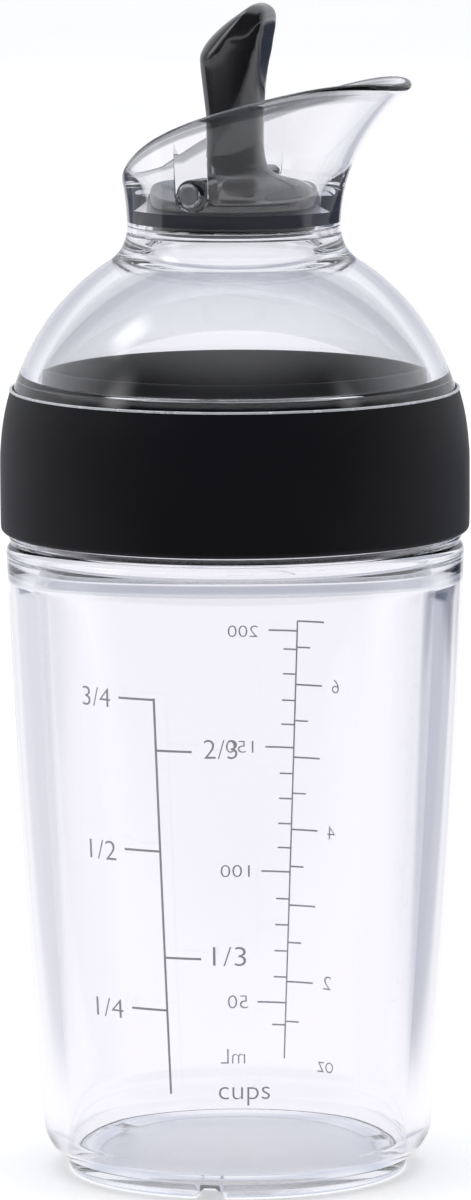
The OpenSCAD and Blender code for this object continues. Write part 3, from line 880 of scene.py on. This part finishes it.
def card(name, corners, level, soft=0.35):
    """A soft-edged card with four (right, away, up) corners: it only shows in gloss and through clear plastic."""
    me = bpy.data.meshes.new(name)
    me.from_pydata([tuple(V_RIGHT * x + V_AWAY * y + np.array([0, 0, z])) for x, y, z in corners], [],
                   [(0, 1, 2, 3)])
    uv = me.uv_layers.new(name="uv")
    for i, q in enumerate(((0, 0), (1, 0), (1, 1), (0, 1))):
        uv.data[i].uv = q
    o = bpy.data.objects.new(name, me)
    scene.collection.objects.link(o)
    m = bpy.data.materials.new(name)
    m.use_nodes = True
    nt = m.node_tree
    nt.nodes.clear()
    out = nt.nodes.new("ShaderNodeOutputMaterial")
    mix = nt.nodes.new("ShaderNodeMixShader")
    tr = nt.nodes.new("ShaderNodeBsdfTransparent")
    em = nt.nodes.new("ShaderNodeEmission")
    em.inputs["Color"].default_value = (level[0], level[1], level[2], 1)
    em.inputs["Strength"].default_value = 1.0
    tc = nt.nodes.new("ShaderNodeTexCoord")
    sep = nt.nodes.new("ShaderNodeSeparateXYZ")
    nt.links.new(tc.outputs["UV"], sep.inputs[0])
    fac = None
    for axis in (0, 1):
        pp = nt.nodes.new("ShaderNodeMath"); pp.operation = "PINGPONG"; pp.inputs[1].default_value = 0.5
        nt.links.new(sep.outputs[axis], pp.inputs[0])
        mr = nt.nodes.new("ShaderNodeMapRange"); mr.interpolation_type = "SMOOTHSTEP"
        mr.inputs["From Max"].default_value = soft
        nt.links.new(pp.outputs[0], mr.inputs["Value"])
        if fac is None:
            fac = mr.outputs[0]
        else:
            mu = nt.nodes.new("ShaderNodeMath"); mu.operation = "MULTIPLY"
            nt.links.new(fac, mu.inputs[0]); nt.links.new(mr.outputs[0], mu.inputs[1])
            fac = mu.outputs[0]
    nt.links.new(fac, mix.inputs[0])
    nt.links.new(tr.outputs[0], mix.inputs[1])
    nt.links.new(em.outputs[0], mix.inputs[2])
    nt.links.new(mix.outputs[0], out.inputs[0])
    me.materials.append(m)
    o.visible_camera = o.visible_diffuse = o.visible_shadow = o.visible_volume_scatter = False


def flat(x0, x1, y0, y1, z=0.0004):
    return [(x0, y0, z), (x1, y0, z), (x1, y1, z), (x0, y1, z)]


def wedge(side, x0, y0, x1, y1, wide, z=0.0004):
    """A flat card beside the line of sight, from (x0, y0) to (x1, y1) and on outwards."""
    q = [(side * x0, y0, z), (side * (x0 + wide), y0, z), (side * (x1 + wide), y1, z), (side * x1, y1, z)]
    return q if side > 0 else q[::-1]


card("floor_base", flat(-2.4, 2.4, -0.20, 2.4, 0.0003), (1.02, 1.01, 1.05), 0.03)
card("floor_front", flat(-1.8, 1.8, -2.2, -0.09), (0.04, 0.042, 0.052), 0.06)
bpy.data.objects["floor_front"].visible_transmission = False
card("floor_left", wedge(-1, 0.040, 0.0, 0.37, 1.1, 0.8, 0.0006), (0.74, 0.75, 0.81), 0.05)
card("floor_right", wedge(1, 0.040, 0.0, 0.37, 1.1, 0.8, 0.0006), (0.55, 0.57, 0.64), 0.05)
card("floor_right_far", wedge(1, 0.16, 0.38, 0.46, 1.2, 0.55, 0.0009), (0.08, 0.10, 0.15), 0.13)
card("floor_left_far", wedge(-1, 0.30, 0.62, 0.60, 1.3, 0.40, 0.0009), (0.22, 0.25, 0.33), 0.2)
# painted contact shadow: a soft darker square on the floor under the foot, with a lighter middle, seen only in gloss
# and through the clear plastic
card("foot_dark", flat(-0.0275, 0.0275, -0.0275, 0.0275, 0.0005), (0.62, 0.67, 0.77), 0.12)
card("foot_light", flat(-0.0225, 0.0225, -0.0225, 0.0225, 0.0007), (1.0, 1.0, 1.04), 0.2)
card("back_grey", [(-1.2, 1.6, 0.02), (1.2, 1.6, 0.02), (1.2, 1.6, 0.75), (-1.2, 1.6, 0.75)], (0.56, 0.58, 0.65), 0.3)


def strip_card(name, azimuth, distance, width, z0, z1, level):
    """An upright soft strip light that only shows as a reflection; azimuth 90 is the photo's left."""
    a = math.radians(azimuth)
    c, t = np.array([-math.sin(a), math.cos(a)]) * distance, np.array([math.cos(a), math.sin(a)]) * width / 2
    card(name, [(*(c - t), z0), (*(c + t), z0), (*(c + t), z1), (*(c - t), z1)], (level, level, level * 1.03), 0.5)
    bpy.data.objects[name].visible_transmission = False


strip_card("strip_left", 112, 1.0, 0.42, 0.05, 1.0, 2.6)
strip_card("strip_right", -115, 1.0, 0.34, 0.05, 0.95, 1.5)
card("top_left", [(-0.60, -0.2, 1.2), (-0.60, 0.2, 1.2), (-0.95, 0.2, 0.82), (-0.95, -0.2, 0.82)], (6.0, 6.0, 6.1), 0.4)
bpy.data.objects["top_left"].visible_transmission = False


def softbox(name, azimuth, elevation, distance, sx, sy, watts, color=(1, 1, 1), aim=(0, 0, 0.11)):
    a = math.atan2(ca, -sa) + math.radians(azimuth)
    e = math.radians(elevation)
    pos = Vector(aim) + Vector((math.cos(a) * math.cos(e), math.sin(a) * math.cos(e), math.sin(e))) * distance
    light = bpy.data.lights.new(name, "AREA")
    light.shape, light.size, light.size_y, light.energy, light.color = "RECTANGLE", sx, sy, watts, color
    o = bpy.data.objects.new(name, light)
    scene.collection.objects.link(o)
    o.location = pos
    o.rotation_mode = "QUATERNION"
    o.rotation_quaternion = (Vector(aim) - pos).to_track_quat("-Z", "Y")
    o.visible_transmission = False
    return o


# azimuth 0 is straight behind the bottle, 90 is the photo's left
softbox("soft_top", 180, 78, 1.5, 1.1, 1.1, 6.0).visible_glossy = False
softbox("soft_left", 112, 20, 1.1, 0.34, 0.9, 2.2).visible_glossy = False
softbox("soft_right", -115, 22, 1.1, 0.26, 0.8, 1.0).visible_glossy = False


def studio_world():
    w = bpy.data.worlds.new("studio")
    scene.world = w
    w.use_nodes = True
    nt = w.node_tree
    nt.nodes.clear()
    new = nt.nodes.new
    out, bg, bg2, mixs, lp = (new("ShaderNodeOutputWorld"), new("ShaderNodeBackground"), new("ShaderNodeBackground"),
                              new("ShaderNodeMixShader"), new("ShaderNodeLightPath"))
    tc, dot, sep = new("ShaderNodeTexCoord"), new("ShaderNodeVectorMath"), new("ShaderNodeSeparateXYZ")
    dot.operation = "DOT_PRODUCT"
    dot.inputs[1].default_value = (sa, -ca, 0)
    nt.links.new(tc.outputs["Generated"], dot.inputs[0])
    nt.links.new(tc.outputs["Generated"], sep.inputs[0])

    def ramp(value, f0, f1, t0, t1):
        m = new("ShaderNodeMapRange")
        m.interpolation_type = "SMOOTHSTEP"
        for k, x in (("From Min", f0), ("From Max", f1), ("To Min", t0), ("To Max", t1)):
            m.inputs[k].default_value = x
        nt.links.new(value, m.inputs["Value"])
        return m.outputs[0]

    front_dark = ramp(dot.outputs["Value"], -0.3, 0.5, 0, 1)
    low = ramp(sep.outputs[2], 0.55, 0.97, 1, 0)
    mul = new("ShaderNodeMath"); mul.operation = "MULTIPLY"
    nt.links.new(front_dark, mul.inputs[0]); nt.links.new(low, mul.inputs[1])
    mix = new("ShaderNodeMix"); mix.data_type = "RGBA"
    mix.inputs[6].default_value = (0.93, 0.94, 0.985, 1)
    mix.inputs[7].default_value = (0.05, 0.052, 0.062, 1)
    nt.links.new(mul.outputs[0], mix.inputs[0])
    nt.links.new(mix.outputs[2], bg.inputs["Color"])
    nt.links.new(ramp(sep.outputs[2], 0.3, 1.0, 1.0, 1.25), bg.inputs["Strength"])
    bg2.inputs["Color"].default_value = (1, 1, 1, 1)
    bg2.inputs["Strength"].default_value = 1.0
    nt.links.new(lp.outputs["Is Camera Ray"], mixs.inputs[0])
    nt.links.new(bg.outputs[0], mixs.inputs[1])
    nt.links.new(bg2.outputs[0], mixs.inputs[2])
    nt.links.new(mixs.outputs[0], out.inputs[0])


studio_world()

scene.view_settings.view_transform = "Standard"
scene.view_settings.look = "None"
scene.view_settings.exposure = 0.0
scene.view_settings.gamma = 1.0
cy = scene.cycles
cy.max_bounces, cy.transmission_bounces, cy.glossy_bounces = 28, 28, 12
cy.diffuse_bounces, cy.transparent_max_bounces = 5, 24
cy.sample_clamp_indirect = 8.0
cy.caustics_refractive = True
cy.caustics_reflective = True
